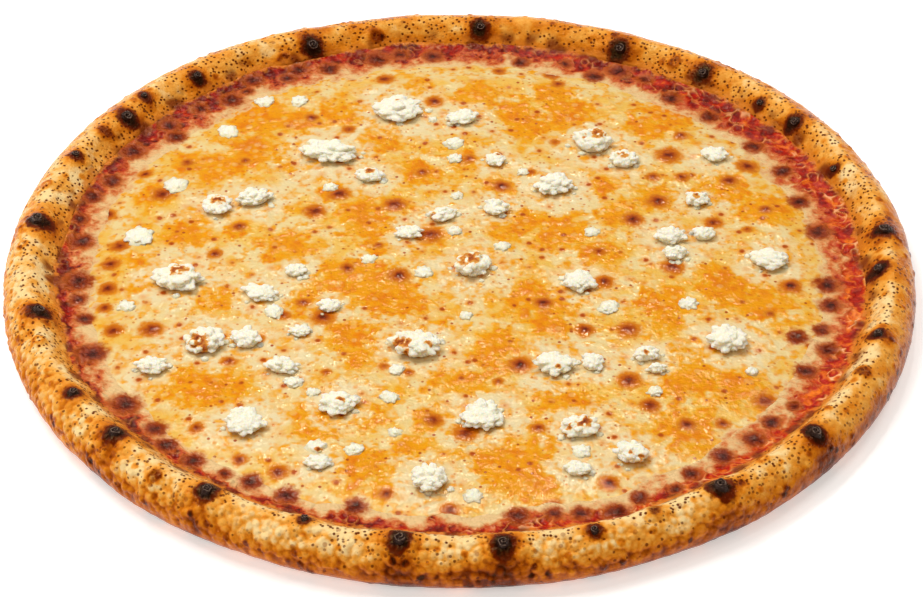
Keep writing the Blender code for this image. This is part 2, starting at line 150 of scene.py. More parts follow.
# Brown spots of the sheet: x, y and width in millimetres.
BROWN_SPOTS = (
    (-27, 109, 5), (-52, 84, 4), (-9, 94, 5), (-39, 77, 4), (-74, 58, 3), (-94, 57, 4), (-101, 38, 6),
    (-108, 51, 4), (-22, 32, 6), (-49, 28, 6), (-41, 38, 6), (-10, 15, 7), (-74, 19, 4), (-113, 9, 5),
    (-119, 28, 5), (-13, 51, 4), (-81, 4, 4), (-27, 9, 3), (72, 61, 7), (14, 43, 5), (67, 34, 6),
    (58, 23, 6), (85, 22, 5), (103, 29, 4), (46, 5, 4), (3, 59, 4), (33, 69, 3), (99, 55, 6), (92, 46, 5),
    (66, 48, 4), (76, 48, 4), (33, 113, 5), (14, 115, 4), (35, 106, 4), (24, 51, 3), (96, 18, 3),
    (77, 73, 4), (-115, -1, 5), (-115, -14, 5), (-115, -24, 4), (-99, -36, 6), (-111, -36, 5),
    (-44, -30, 6), (-20, -8, 6), (-37, -4, 4), (-57, -29, 4), (-51, -22, 4), (-64, -41, 3),
    (-73, -52, 4), (-24, -55, 3), (-16, -58, 3), (-81, -85, 4), (-55, -105, 5), (-67, -99, 4),
    (-22, -115, 4), (-3, -122, 5), (-8, -81, 5), (-42, -58, 3), (70, -3, 6), (108, -13, 6), (47, -11, 5),
    (54, -36, 6), (40, -36, 5), (19, -54, 6), (53, -62, 6), (95, -71, 6), (70, -83, 5), (2, -87, 6),
    (45, -110, 5), (59, -74, 5), (100, -28, 3), (24, -85, 4), (28, -120, 5), (27, -22, 5), (81, -82, 4),
    (12, -62, 3),
)

# Browned patches along the line between cheese and sauce: x, y and width in millimetres.
SEAM_SPOTS = (
    (22, 121, 5), (38, 120, 4), (48, 112, 6), (57, 115, 7), (66, 110, 5), (75, 98, 6), (88, 86, 6),
    (102, 68, 6), (111, 53, 6), (115, 35, 6), (120, 18, 7), (120, -11, 7), (120, -22, 6), (116, -35, 5),
    (108, -39, 6), (117, -45, 6), (109, -56, 6), (104, -73, 4), (96, -81, 5), (90, -89, 6), (80, -97, 6),
    (70, -105, 5), (65, -112, 4), (54, -116, 5), (47, -123, 7), (36, -123, 5), (28, -123, 5),
    (17, -124, 6), (-31, -120, 6), (-52, -115, 6), (-63, -109, 6), (-71, -105, 4), (-81, -99, 6),
    (-90, -92, 6), (-94, -84, 6), (-104, -72, 8), (-117, -47, 8), (-121, -29, 5), (-124, -19, 5),
    (-125, -9, 8), (-126, 13, 7), (-128, 25, 5), (-125, 38, 6), (-119, 47, 6), (-113, 65, 7),
    (-99, 74, 6), (-102, 81, 6), (-92, 91, 5), (-81, 97, 7), (-76, 102, 4), (-74, 109, 6), (-62, 111, 5),
    (-58, 116, 6), (-47, 117, 6), (-30, 123, 7), (-22, 126, 5), (-10, 125, 6),
)

# Toasted places on the crumbles: x, y and width in millimetres.
TOASTED = (
    (-22, 89, 2), (-82, 31, 6), (48, 69, 6), (43, 67, 2), (56, 57, 4), (3, -3, 8), (-92, -9, 6),
    (-83, -45, 6), (-81, -48, 3), (-18, -47, 6), (-10, -48, 3), (-17, -51, 2), (31, -58, 2), (38, -86, 5),
    (34, -88, 3), (52, -100, 2), (55, -101, 2), (-31, 49, 4), (-9, 24, 2), (13, 59, 2), (-37, -75, 3),
    (-43, -96, 3), (80, 34, 3), (59, -51, 2),
)

# The photograph's view
LOOK_AT = Vector((0.5 * MM, -6.4 * MM, 0))
CAMERA_ELEVATION = math.radians(37.73)
CAMERA_DISTANCE = 1.0
LENS = 118.1  # on a sensor 36 wide, both in millimetres


def link(thing):
    bpy.context.scene.collection.objects.link(thing)


def mix(a, b, share):
    return a + (b - a) * share


def smooth(share):
    """Rises from 0 to 1 as share does, with no corner at either end."""
    share = np.clip(share, 0, 1)
    return share * share * (3 - 2 * share)


def flat(spots, level=0.0):
    """Spots seen from above, as points at one level."""
    return np.concatenate([spots, np.full(spots.shape[:-1] + (1,), level)], -1)


def distance(spots, centre=(0, 0)):
    return np.linalg.norm(spots - np.array(centre), axis=-1)


def at_each(points, size, salt, value):
    """What the function gives at each point, or at each spot seen from above, in units of the size."""
    points = flat(points) if points.shape[-1] == 2 else points
    found = [value(place) for place in (points / size + salt).reshape(-1, 3).tolist()]
    return np.array(found).reshape(points.shape[:-1])


def waves(points, size, salt=0.0):
    """Smooth noise from about -1 to 1 at each point, with waves about this long."""
    return at_each(points, size, salt, noise.noise)


def dots(points, size, reach, share, salt):
    """Round dots: 1 at a dot's middle and 0 this far from it. This share of the cells has one."""

    def dot(place):
        distances, middles = noise.voronoi(place)
        kept = noise.cell(middles[0] * 7.7) < share
        return max(0.0, 1 - distances[0] * size / reach) if kept else 0.0

    return at_each(points, size, salt, dot)


def lumps(points, size, salt=0.0):
    """Distance from each point to the middle of the nearest lump of this size, in sizes."""
    return at_each(points, size, salt, lambda place: noise.voronoi(place)[0][0])


def round_noise(angles, lobes, salt):
    """Smooth noise from about -0.5 to 0.5 that closes on itself round the pizza."""
    return 0.5 * waves(np.stack([np.cos(angles) * lobes, np.sin(angles) * lobes, 0 * angles + salt], -1), 1)


def on_circle(centre, radius, angles):
    return np.stack([centre[0] + radius * np.cos(angles), centre[1] + radius * np.sin(angles)], -1)


def blister_places():
    """Each blister's centre seen from above, and its width."""
    return [
        (on_circle((0, 0), radius * MM, math.radians(degrees)), width * MM)
        for degrees, radius, width in BLISTERS
    ]


def from_blisters(spots):
    """How many of its own widths each spot is from each blister, and the blister's width."""
    for centre, width in blister_places():
        yield distance(spots, centre) / width, width


def hump(away, reach=1):
    """1 at no distance, and less the further away."""
    return np.exp(-((away / reach) ** 2))


def facing(angles, degrees, spread):
    """1 on the side of the pizza at this angle, and less the further round from it, in degrees."""
    return hump(np.angle(np.exp(1j * (angles - math.radians(degrees)))), math.radians(spread))


def swell(angles):
    """How much fuller than a circle the whole pizza is at each angle."""
    extra = 0 * angles
    for degrees, spread, most in SWELLS:
        extra = extra + most * MM * facing(angles, degrees, spread)
    return extra


def outline(angles):
    return PIZZA_RADIUS + swell(angles) + OUTLINE_WAVE * round_noise(angles, 5, 1.7)


def crest_height(angles):
    return CREST_HEIGHT + CREST_WAVE * round_noise(angles, 6, 4.2)


def sauce_line(angles):
    """Distance from the origin to the line where the sauce meets the rim."""
    round_spots = on_circle(SAUCE_LINE_CENTRE, SAUCE_LINE_RADIUS, angles)
    push = 0 * angles
    for away, width in from_blisters(round_spots):
        push = push + width * PUSH_OVER_SAUCE * hump(away - 1)
    wave = swell(angles) + SAUCE_LINE_WAVE * round_noise(angles, 9, 7.9)
    return distance(on_circle(SAUCE_LINE_CENTRE, SAUCE_LINE_RADIUS + wave - push, angles))


def cheese_edge(angles):
    """Radius of the cheese sheet about its own centre."""
    broad = CHEESE_EDGE_WAVE * round_noise(angles, 7, 3.3)
    return CHEESE_RADIUS + broad + CHEESE_EDGE_RIPPLE * round_noise(angles, 16, 5.1)


def inside_edge(spots):
    """How far inside the edge of the cheese sheet each spot lies."""
    arm = spots - CHEESE_CENTRE
    return cheese_edge(np.arctan2(arm[..., 1], arm[..., 0])) - distance(arm)


def spot_strength(spots, places, ragged=0.0, reach=0.5):
    """1 in the middle of the nearest place and 0 this share of its width away; small places stay weaker."""
    strength = np.zeros(spots.shape[:-1])
    wander = waves(spots, 2.2 * MM, 5.5) + 0.6 * waves(spots, 1.1 * MM, 2.5)
    for x, y, width in places:
        away = distance(spots, (x * MM, y * MM)) / (width * MM * reach)
        strength = np.maximum(strength, (1 - away - ragged * wander) * min(1, 0.6 + 0.08 * width))
    return np.clip(strength, 0, 1)


SHEET_RELIEF = ((9 * MM, 0.5 * MM), (4.2 * MM, 0.42 * MM), (2.2 * MM, 0.2 * MM))  # wave length and height
SHEET_EDGE_HEIGHT = 9.1 * MM
SHEET_EDGE_SLOPE = 11 * MM  # width of the strip in which the sheet runs out
SHEET_WALL_LEAN = 0.006  # of the distance to its middle
SPOT_SWELLING = 0.3 * MM  # how far a brown spot stands up


def sheet_height(spots):
    """Height of the melted sheet's surface: uneven, raised at brown spots, and running out at its edge."""
    broad = waves(flat(spots, 2.6 * CHEESE_WAVE_SIZE), CHEESE_WAVE_SIZE)
    full = CHEESE_TOP + 0.5 * CHEESE_WAVE_HEIGHT * broad
    for size, height in SHEET_RELIEF:
        full = full + 0.5 * height * waves(spots, size, 8.8)
    full = full + SPOT_SWELLING * smooth(spot_strength(spots, BROWN_SPOTS, reach=0.7))
    return mix(SHEET_EDGE_HEIGHT, full, np.clip(inside_edge(spots) / SHEET_EDGE_SLOPE, 0, 1))


def veil(spots):
    """How much cheese covers each spot: 0 on bare sauce, and 1 well inside the sheet; narrower in front."""
    wander = 5 * MM * waves(spots, 8 * MM, 1.3) + 2.4 * MM * waves(spots, 2.8 * MM, 4.3)
    front = facing(np.arctan2(spots[..., 1], spots[..., 0]), 265, 60)
    past_edge = (9 - 2.5 * front) * MM
    width = (12 - 6 * front) * MM
    return np.clip((inside_edge(spots) + wander + past_edge) / width, 0, 1)


def caught(spots, over):
    """Dark blobs of burnt sauce on the crust, given how far each spot is beyond the sauce line."""
    wander = 2 * MM * waves(spots, 5 * MM, 6.2)
    blobs = dots(spots + wander[..., None], 7 * MM, 3.6 * MM, 0.75, 9.4)
    return smooth(1.8 * blobs) * smooth(1.4 - np.abs(over - 0.5 * MM) / (3.4 * MM))


def seam_heat(spots):
    """How browned each spot is beside the line between cheese and sauce."""
    return spot_strength(spots, SEAM_SPOTS, ragged=0.08, reach=0.95)


def bands(rings):
    """Triangles between rings of vertex numbers that may differ in length, first ring inside or above."""
    triangles = []
    for first, second in zip(rings, rings[1:]):
        a, b = 0, 0
        while a < len(first) or b < len(second):
            here, there = first[a % len(first)], second[b % len(second)]
            if a == len(first) or (b < len(second) and b * len(first) <= a * len(second)):
                b += 1
                triangles.append((here, there, second[b % len(second)]))
            else:
                a += 1
                triangles.append((first[a % len(first)], here, there))
    return triangles


def fan(ring, middle, turned):
    """Triangles from a ring of vertex numbers to one in its middle."""
    pairs = zip(ring, ring[1:] + ring[:1])
    return [(there, here, middle) if turned else (here, there, middle) for here, there in pairs]


def ring_numbers(counts):
    """Vertex numbers of rings that follow each other, given how many vertices each has."""
    starts = np.concatenate([[0], np.cumsum(counts)])
    return [list(range(start, start + count)) for start, count in zip(starts.tolist(), counts)]


def closed_faces(counts):
    """Faces of a closed form: rings with these counts of vertices, then the middles of its two ends."""
    rings = ring_numbers(counts)
    count = sum(counts)
    return bands(rings) + fan(rings[0], count, turned=True) + fan(rings[-1], count + 1, turned=False)


def make_piece(name, points, faces, finish, node, slot, **masks):
    """Adds a piece of the object, with numbers for each vertex that its material reads."""
    mesh = bpy.data.meshes.new(name)
    mesh.from_pydata(np.asarray(points).tolist(), [], faces)
    for mask, values in masks.items():
        attribute = mesh.attributes.new(mask, "FLOAT", "POINT")
        attribute.data.foreach_set("value", np.asarray(values, np.float32).ravel())
    mesh.shade_smooth()
    mesh.materials.append(finish)
    piece = bpy.data.objects.new(name, mesh)
    link(piece)
    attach(piece, "root")
    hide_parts(node)


class Recipe:
    """A material, written as short calls that each add one node and give back its output."""

    def __init__(self, name):
        self.material = bpy.data.materials.new(name)
        self.material.use_nodes = True
        self.nodes = self.material.node_tree.nodes
        self.links = self.material.node_tree.links
        self.shader = self.nodes["Principled BSDF"]
        self.place = self.add("TexCoord").outputs["Object"]
        self.colour = None

    def add(self, kind, sockets=(), **settings):
        """Adds a node with these settings, and with these values or links on its input sockets."""
        made = self.nodes.new("ShaderNode" + kind)
        for name, value in settings.items():
            setattr(made, name, value)
        for name, value in dict(sockets).items():
            self.put(made.inputs[name], value)
        return made

    def put(self, socket, value):
        """Sets a socket to a number or a colour, or links an output to it."""
        if isinstance(value, bpy.types.NodeSocket):
            self.links.new(value, socket)
        elif isinstance(value, tuple) and len(value) == 3 and socket.type == "RGBA":
            socket.default_value = (*value, 1)
        else:
            socket.default_value = value

    def math(self, operation, a, b):
        return self.add("Math", {0: a, 1: b}, operation=operation).outputs[0]

    def plus(self, *terms):
        total = terms[0]
        for term in terms[1:]:
            total = self.math("ADD", total, term)
        return total

    def times(self, a, b):
        return self.math("MULTIPLY", a, b)

    def weigh(self, *parts):
        """Adds up values, each with its own weight."""
        return self.plus(*[self.times(value, weight) for value, weight in parts])

    def mask(self, name):
        return self.add("Attribute", attribute_name=name).outputs["Fac"]

    def ragged(self, name, wander):
        """A mask that wanders wherever it isn't 0."""
        value = self.mask(name)
        return self.plus(value, self.times(wander, self.range(value, 0.02, 0.3)))

    def stretched(self, x, y, z):
        """The place on the object with each axis stretched by its own number."""
        return self.add("Mapping", {"Vector": self.place, "Scale": (x, y, z)}).outputs[0]

    def noise(self, size, detail=2.0, place=None):
        """Noise from about -1 to 1."""
        made = self.add("TexNoise", {"Vector": place or self.place, "Scale": 1 / size, "Detail": detail})
        return self.add("Math", {0: made.outputs[0], 1: 4.0, 2: -2.0}, operation="MULTIPLY_ADD").outputs[0]

    def cells(self, size):
        """Distance to the middle of the nearest cell in cell sizes, and a random number for that cell."""
        made = self.add("TexVoronoi", {"Vector": self.place, "Scale": 1 / size})
        split = self.add("SeparateColor", {0: made.outputs["Color"]})
        return made.outputs["Distance"], split.outputs[0]

    def range(self, value, low, high):
        """0 where the value is low and 1 where it is high, with a smooth step between."""
        sockets = {"Value": value, "From Min": low, "From Max": high}
        return self.add("MapRange", sockets, interpolation_type="SMOOTHSTEP").outputs[0]

    def speckle(self, size, radius, share):
        """Small dots of about this radius in this share of the cells of this size."""
        away, chance = self.cells(size)
        dot = self.range(away, radius / size, 0.55 * radius / size)
        return self.times(dot, self.math("LESS_THAN", chance, share))

    def blend(self, share, a, b):
        return self.add("Mix", {"Factor": share, 6: a, 7: b}, data_type="RGBA").outputs[2]

    def cover(self, share, colour, most=1):
        """Puts a colour over the one so far: this much of it where the share is 1."""
        self.colour = self.blend(share if most == 1 else self.times(share, most), self.colour, colour)

    def ramp(self, value, stops):
        """A colour for the value, from stops of (value, colour)."""
        made = self.add("ValToRGB", {0: value})
        line = made.color_ramp
        while len(line.elements) < len(stops):
            line.elements.new(0.5)
        for element, (at, colour) in zip(line.elements, stops):
            element.position = at
            element.color = (*colour, 1)
        return made.outputs[0]

    def bump(self, height, depth):
        """Fine relief: height from 0 to 1 stands this deep."""
        return self.add("Bump", {"Height": height, "Distance": depth}).outputs[0]

    def finish(self, **settings):
        """The material, with the colour so far and these settings of its shader."""
        self.put(self.shader.inputs["Base Color"], self.colour)
        for name, value in settings.items():
            self.put(self.shader.inputs[name.replace("_", " ")], value)
        return self.material


SLOPE_EASE = 0.45  # how gently the rim's inner slope leaves the sauce, from 0 to 1


def slope_height(share, top):
    """Height of the rim's inner slope this share of the way from the sauce to its crest."""
    rise = mix(np.sin(math.pi / 2 * share), smooth(share), SLOPE_EASE)
    return mix(SAUCE_LINE_HEIGHT, top, rise)


def crust_rows(angles):
    """The plain rim: radius and height at each angle, in rows from its inner foot over its crest down."""
    inner, outer, top = sauce_line(angles), outline(angles), crest_height(angles)
    crest = outer - CREST_INSET
    rows = [(inner - WALL_LEAN, 0 * top + DOUGH_THICKNESS)]
    for share in np.linspace(0, 1, SLOPE_ROWS + 1):
        rows.append((mix(inner, crest, share), slope_height(share, top)))
    for turn in np.linspace(0, math.pi / 2, SIDE_ROWS + 1)[1:]:
        rows.append((mix(crest, outer, math.sin(turn)), mix(SIDE_HEIGHT, top, math.cos(turn))))
    for turn in np.linspace(0, math.pi / 2, UNDER_ROWS + 1)[1:]:
        height = SIDE_HEIGHT * (1 - math.sin(turn))
        rows.append((outer - FOOT_INSET * (1 - math.cos(turn)), 0 * top + height))
    return np.moveaxis(np.array(rows), 1, -1)


def round_points(radii, heights, angles):
    return np.stack([radii * np.cos(angles), radii * np.sin(angles), heights], -1)


# Relief of the rim's skin
PEBBLE_SIZE = 2.3 * MM
PEBBLE_HEIGHT = 0.85 * MM
PEBBLY_SIDES = ((215, 45), (275, 38))  # middle and spread in degrees
SKIN_WAVES = ((3.1 * MM, 0.16 * MM, 3.3), (1.5 * MM, 0.08 * MM, 9.1))  # wave length, height and salt
BUBBLE_HEIGHT = 0.9 * MM
SMALL_BLISTER_EDGE = 0.35 * MM
NUB_HEIGHT = 0.3 * MM
SIDE_SHRINK = 0.25 * MM  # keeps the pebbled side inside the outline


def pebbly_side(angles):
    return sum(facing(angles, *side) for side in PEBBLY_SIDES)


def pebbly(points, angles, outside):
    """How pebbly the skin is: most on the front and left of the outer side, and hardly elsewhere."""
    packed = np.clip(pebbly_side(angles), 0, 1)
    above_foot = smooth((points[..., 2] - 4 * MM) / (3 * MM))
    return mix(0.12, 1, packed * above_foot * (0.2 + 0.8 * outside))


def pebbles(points):
    """Domes of baked dough with narrow creases between them."""
    wander = 0.9 * MM * waves(points, 5 * MM, 2.9)
    return np.maximum(0, 1 - 1.5 * lumps(points + wander[..., None], PEBBLE_SIZE) ** 2) - 0.65


def crust_relief(points, angles, stones, outside):
    """How far the rim's skin stands out: lumps of dough, pebbles, and bubbles on the front left."""
    high = smooth(points[..., 2] / SIDE_HEIGHT - 1)
    rise = 0.5 * DOUGH_LUMP_HEIGHT * waves(points, DOUGH_LUMP_SIZE)
    for size, height, salt in SKIN_WAVES:
        rise += height * waves(points, size, salt)
    rise += PEBBLE_HEIGHT * stones
    bubbly = facing(angles, 243, 22) * outside * smooth((points[..., 2] - 5 * MM) / (3 * MM))
    rise += bubbly * BUBBLE_HEIGHT * smooth(1.4 * dots(points, 4 * MM, 2.6 * MM, 0.7, 4.4))
    for away, width in from_blisters(points[..., :2]):
        rise += high * width * SWELLING_HEIGHT * hump(away, SWELLING_SPREAD)
        if width < KNOB_WIDTH:
            rise += high * SMALL_BLISTER_EDGE * hump(away - 0.42, 0.2)
    return rise


def crust_masks(points, angles, stones, stony, outside, marks):
    """Numbers for the crust's material: how browned, charred, porous and stained it is; the browning also
    carries painted light and shade.
    """
    spots = points[..., :2]
    high = smooth((points[..., 2] - 8 * MM) / (6 * MM))
    rim = distance(spots) - sauce_line(angles)
    low_side = outside * (1 - high)
    # The upper rim is paler where the dough's lumps rise (the relief uses the same waves): painted
    # highlight on the lump tops.
    bake_and_shading = 0.22 + 0.12 * waves(points, 24 * MM) - 0.26 * high * waves(points, DOUGH_LUMP_SIZE)
    bake_and_shading += 0.12 * (1 - 0.6 * stony) * waves(points, 3.4 * MM, 2.5)
    # Darker low on the outer side: painted shade. Paler pebble tops and darker creases between them:
    # painted highlight and painted shade.
    bake_and_shading += 0.2 * low_side - 0.32 * stones + 0.3 * marks
    # Darker or paler by side, as in the photograph: the back is browner, and the rest below is painted
    # light and shade
    bake_and_shading += 0.1 * facing(angles, 75, 60)
    # Painted shade: darker on the right, most on its outer side.
    bake_and_shading += 0.1 * facing(angles, 345, 40) * (1 + outside - 0.8 * high)
    # Painted light: paler on the left, which faces the key lamp.
    bake_and_shading -= 0.12 * facing(angles, 150, 55)
    # Painted light: paler on the right's upper inner slope, which faces the key lamp.
    bake_and_shading -= 0.16 * facing(angles, 0, 60) * high * (1 - outside)
    # Painted shade low on the front's outer side, and painted light on the front crest.
    bake_and_shading += 0.12 * facing(angles, 270, 60) * (low_side - 1.4 * high)
    bake_and_shading += (0.04 + 0.14 * facing(angles, 100, 90)) * smooth(1 - rim / (5 * MM))
    char = 0 * bake_and_shading
    ragged = 0.14 * waves(points, 2.4 * MM, 6.6) + 0.1 * waves(points, 1.1 * MM, 7.6)
    for away, width in from_blisters(spots):
        burnt = smooth((width - 3.5 * MM) / (4 * MM))
        bake_and_shading += (0.1 + 0.5 * burnt) * hump(away + 0.6 * ragged, 0.72)
        bake_and_shading += 0.38 * (1 - burnt) * hump(away + ragged - 0.36, 0.2)
        char = np.maximum(char, burnt * smooth((0.57 + 0.7 * ragged - away) / 0.38))
    porous = smooth(0.8 + 0.9 * waves(points, 12 * MM, 4.1))
    return {
        "bake_and_shading": bake_and_shading,
        "char": char,
        "pores": porous * (0.35 + 0.65 * high) * (1 - 0.65 * outside),
        "stain": smooth(1 - (rim + 3 * MM * waves(points, 4 * MM, 8.2)) / (4 * MM)),
        "low": smooth(1 - points[..., 2] / (7 * MM)) * outside,
        "stony": stony,
        "caught": caught(spots, rim),
    }


def column_angles():
    """Angles of the rim's columns of points, closer together where the skin is pebbly."""
    fine = np.linspace(0, FULL_TURN, 4001)
    crowd = np.cumsum(1 + 1.1 * pebbly_side(fine))
    crowd = (crowd - crowd[0]) / (crowd[-1] - crowd[0])
    return np.interp(np.arange(CRUST_COLUMNS) / CRUST_COLUMNS, crowd, fine)


def crust_skin():
    """The whole rim as rows of points, with which way its skin faces and the masks for its material."""
    angles = column_angles()
    rows = crust_rows(angles)
    along = np.gradient(rows, axis=0)
    length = np.linalg.norm(along, axis=-1, keepdims=True)
    across = np.stack([-along[..., 1], along[..., 0]], -1) / length
    plain = round_points(rows[..., 0], rows[..., 1], angles)
    crest = outline(angles) - CREST_INSET
    outside = smooth((rows[..., 0] - crest) / (3 * MM))
    nubs = dots(plain, 5.2 * MM, 1.5 * MM, 0.75, 2.2) * outside * smooth(plain[..., 2] / (4 * MM))
    marks = smooth(2 * np.maximum(nubs, dots(plain, 7 * MM, 1.7 * MM, 0.6, 12.2)))
    fade = smooth(rows[..., 1] / (3 * MM))
    stony = pebbly(plain, angles, outside)
    stones = pebbles(plain) * stony
    rise = crust_relief(plain, angles, stones, outside)
    rise += NUB_HEIGHT * smooth(1.5 * nubs) - SIDE_SHRINK * outside
    rise *= fade
    rise[0] = 0
    radii = rows[..., 0] + across[..., 0] * rise
    heights = rows[..., 1] + across[..., 1] * rise
    facing_out = round_points(across[..., 0], across[..., 1], angles)
    masks = crust_masks(plain, angles, stones, stony, outside, marks)
    return round_points(radii, heights, angles), facing_out, masks


UNDERSIDE_RING = 3 * MM  # the flat underside has a ring of points this far in from its edge


def build_crust(skin, masks, finish):
    """The dough: a flat base and its rounded, blistered rim in one piece."""
    inward = 1 - UNDERSIDE_RING / PIZZA_RADIUS
    foot = skin[-1] * np.array((inward, inward, 1))
    middles = np.array([(0, 0, DOUGH_THICKNESS), (0, 0, 0)])
    points = np.concatenate([skin.reshape(-1, 3), foot, middles])
    faces = closed_faces([CRUST_COLUMNS] * (len(skin) + 1))
    whole = {}
    for name, values in masks.items():
        whole[name] = np.concatenate([values.ravel(), values[-1], [values[0].mean(), values[-1].mean()]])
    make_piece("baked_rim", points, faces, finish, node="crust", slot="baked_crust", **whole)


KNOB_RINGS = 10
KNOB_COLUMNS = 30
KNOB_REACH = 0.25  # this and the next are shares of the blister's width
KNOB_RISE = 0.17
KNOB_SKIRT = 0.8 * MM  # how far the knob's edge goes into the dough
KNOB_SINK = 0.1 * MM  # how far the whole knob is set down into it
KNOB_CURLS = 2.3  # turns of its spiral


def build_knobs(skin, facing_out, finish):
    """The curled black knobs that stand on the larger blisters."""
    upper = slice(1, SLOPE_ROWS + SIDE_ROWS // 2)
    places, outward = skin[upper].reshape(-1, 3), facing_out[upper].reshape(-1, 3)
    points, faces, ridges = [], [], []
    turn = np.arange(KNOB_COLUMNS) * FULL_TURN / KNOB_COLUMNS
    share = np.linspace(0, 1, KNOB_RINGS + 1)[:, None]
    one_knob = np.array(closed_faces([KNOB_COLUMNS] * KNOB_RINGS))
    for number, (centre, width) in enumerate(blister_places()):
        if width < KNOB_WIDTH:
            continue
        nearest = np.argmin(distance(places[:, :2], centre))
        base, up = places[nearest], outward[nearest]
        side = np.array((up[1], -up[0], 0)) / math.hypot(up[0], up[1])
        edge = KNOB_REACH * width * (1 + 0.35 * round_noise(turn, 1.3, number * 3.7))
        sway = 3.4 * round_noise(turn, 1.6 * share + 0.3, number * 5.3 + 2.2 * share)
        curl = 0.5 + 0.5 * np.cos(KNOB_CURLS * FULL_TURN * share - turn + number + sway)
        rise = KNOB_RISE * width * (0.62 + 0.38 * curl) * smooth((1 - share) / 0.3) - KNOB_SKIRT * share**4
        rise *= 1 + 0.5 * round_noise(turn, 1.1, number * 1.9)
        steps = round_points(share * edge, rise - KNOB_SINK, turn)
        knob = base + steps @ np.array((side, np.cross(up, side), up))
        # Share of ridge on the knob, which its material paints grey-brown, partly as painted highlight.
        ridge = curl * smooth((1 - share) * 3)
        faces += (one_knob + len(ridges)).tolist()
        points += [*knob[1:].reshape(-1, 3), knob[0, 0], base - up * KNOB_SKIRT]
        ridges += [*ridge[1:].ravel(), ridge[0, 0], 0]
    make_piece("char_knobs", points, faces, finish, node="crust", slot="baked_crust", ridge=ridges)


SAUCE_LAP = 1.7 * MM  # how far the sauce reaches up the rim's inner slope
SAUCE_UNDER_CHEESE = SAUCE_BOTTOM + 1.4 * MM  # its height there
SAUCE_HIDDEN_RING = 6 * MM  # how far its first ring of points is inside the cheese's edge
SAUCE_LIFT = 0.05 * MM  # how far it lies above the rim's inner slope
SAUCE_EDGE_DROP = 1.2 * MM  # how far its edge goes down into the dough
LOOP_HEIGHT = 0.6 * MM


def sauce_skin(angles):
    """The sauce as rows of points, from below the cheese to its edge on the rim, and its masks."""
    lap = SAUCE_LAP * (1.1 + round_noise(angles, 22, 2.1) + 0.5 * round_noise(angles, 60, 5.1))
    start = on_circle(CHEESE_CENTRE, cheese_edge(angles) - SAUCE_HIDDEN_RING, angles)
    stop = on_circle((0, 0), sauce_line(angles) + lap, angles)
    spots = mix(start, stop, np.linspace(0, 1, SAUCE_ROWS + 1)[:, None, None])
    inside = inside_edge(spots)
    over = distance(spots) - sauce_line(angles)
    to_rim = distance(spots, stop)
    shows = smooth((4 * MM - inside) / (3.6 * MM))
    bare = smooth((-1.5 * MM - inside) / (4 * MM))
    wet = smooth((to_rim - 0.8 * MM) / (1.5 * MM))
    lumpy = 0.5 * MM * waves(spots, 5 * MM) + 0.4 * MM * waves(spots, 2.2 * MM, 7.7)
    loops = smooth(1 - 4 * np.abs(waves(spots, 3.4 * MM, 3.9)))
    loops *= wet * smooth(0.75 + 1.6 * waves(spots, 7 * MM))
    full = SAUCE_RING_HEIGHT + (0.2 + 0.8 * bare) * (lumpy + LOOP_HEIGHT * loops)
    up_slope = np.clip(over / (outline(angles) - CREST_INSET - sauce_line(angles)), 0, 1)
    onto_rim = slope_height(up_slope, crest_height(angles)) + SAUCE_LIFT
    onto_rim -= SAUCE_EDGE_DROP * smooth(over / lap)
    full = mix(full, onto_rim + 0.4 * lumpy, smooth(1 + over / (3.5 * MM)))
    heights = mix(SAUCE_UNDER_CHEESE, full, shows)
    wander = 1.6 * MM * waves(spots, 3 * MM, 1.3) + 0.8 * MM * waves(spots, 1.4 * MM, 4.3)
    masks = {
        "veil": veil(spots),
        "seam": seam_heat(spots),
        "rim": smooth(1 - (to_rim - 1 * MM + wander) / (3.2 * MM)),
        "loops": loops,
        # Right side, turning toward the front: there the sauce's tone is brighter and the painted
        # highlights on its curls stronger.
        "right_side": facing(np.broadcast_to(angles, over.shape), 335, 75),
        "caught": caught(spots, over),
    }
    return np.concatenate([spots, heights[..., None]], -1), masks


def build_sauce(finish):
    """The lumpy ring of sauce between cheese and rim, which goes on under the cheese as a thin layer."""
    angles = np.arange(SAUCE_COLUMNS) * FULL_TURN / SAUCE_COLUMNS
    skin, masks = sauce_skin(angles)
    wall = flat(on_circle((0, 0), sauce_line(angles) - WALL_LEAN, angles), SAUCE_BOTTOM)
    middles = np.array([(*CHEESE_CENTRE, SAUCE_UNDER_CHEESE), (0, 0, SAUCE_BOTTOM)])
    points = np.concatenate([skin.reshape(-1, 3), wall, middles])
    faces = closed_faces([SAUCE_COLUMNS] * (SAUCE_ROWS + 2))
    whole = {name: np.concatenate([values.ravel(), values[-1], [0, 0]]) for name, values in masks.items()}
    make_piece("sauce_ring", points, faces, finish, node="tomato_sauce", slot="sauce", **whole)


def sheet_masks(spots):
    """Numbers for the sheet's material: how orange, browned, pale and far inside its edge it is."""
    orange = np.zeros(len(spots))
    wander = 0.5 * waves(spots, 6 * MM, 2.4) + 0.3 * waves(spots, 2.6 * MM, 6.4)
    for x, y, radius in ORANGE_PATCHES:
        away = distance(spots, (x * MM, y * MM)) / (radius * MM)
        orange = np.maximum(orange, 1.5 + wander - away)
    pale = np.zeros(len(spots))
    for x, y, length, width, _, _ in CRUMBLES:
        away = distance(spots, (x * MM, y * MM)) / (0.5 * (length + width) * MM)
        pale = np.maximum(pale, smooth((1.45 + 0.7 * wander - away) / 0.8))
    return {
        "orange": np.clip(orange, 0, 1) * (1 - 0.8 * pale),
        "toast": spot_strength(spots, BROWN_SPOTS, ragged=0.05, reach=0.95),
        "seam": seam_heat(spots),
        "veil": veil(spots),
        "pale": pale,
    }


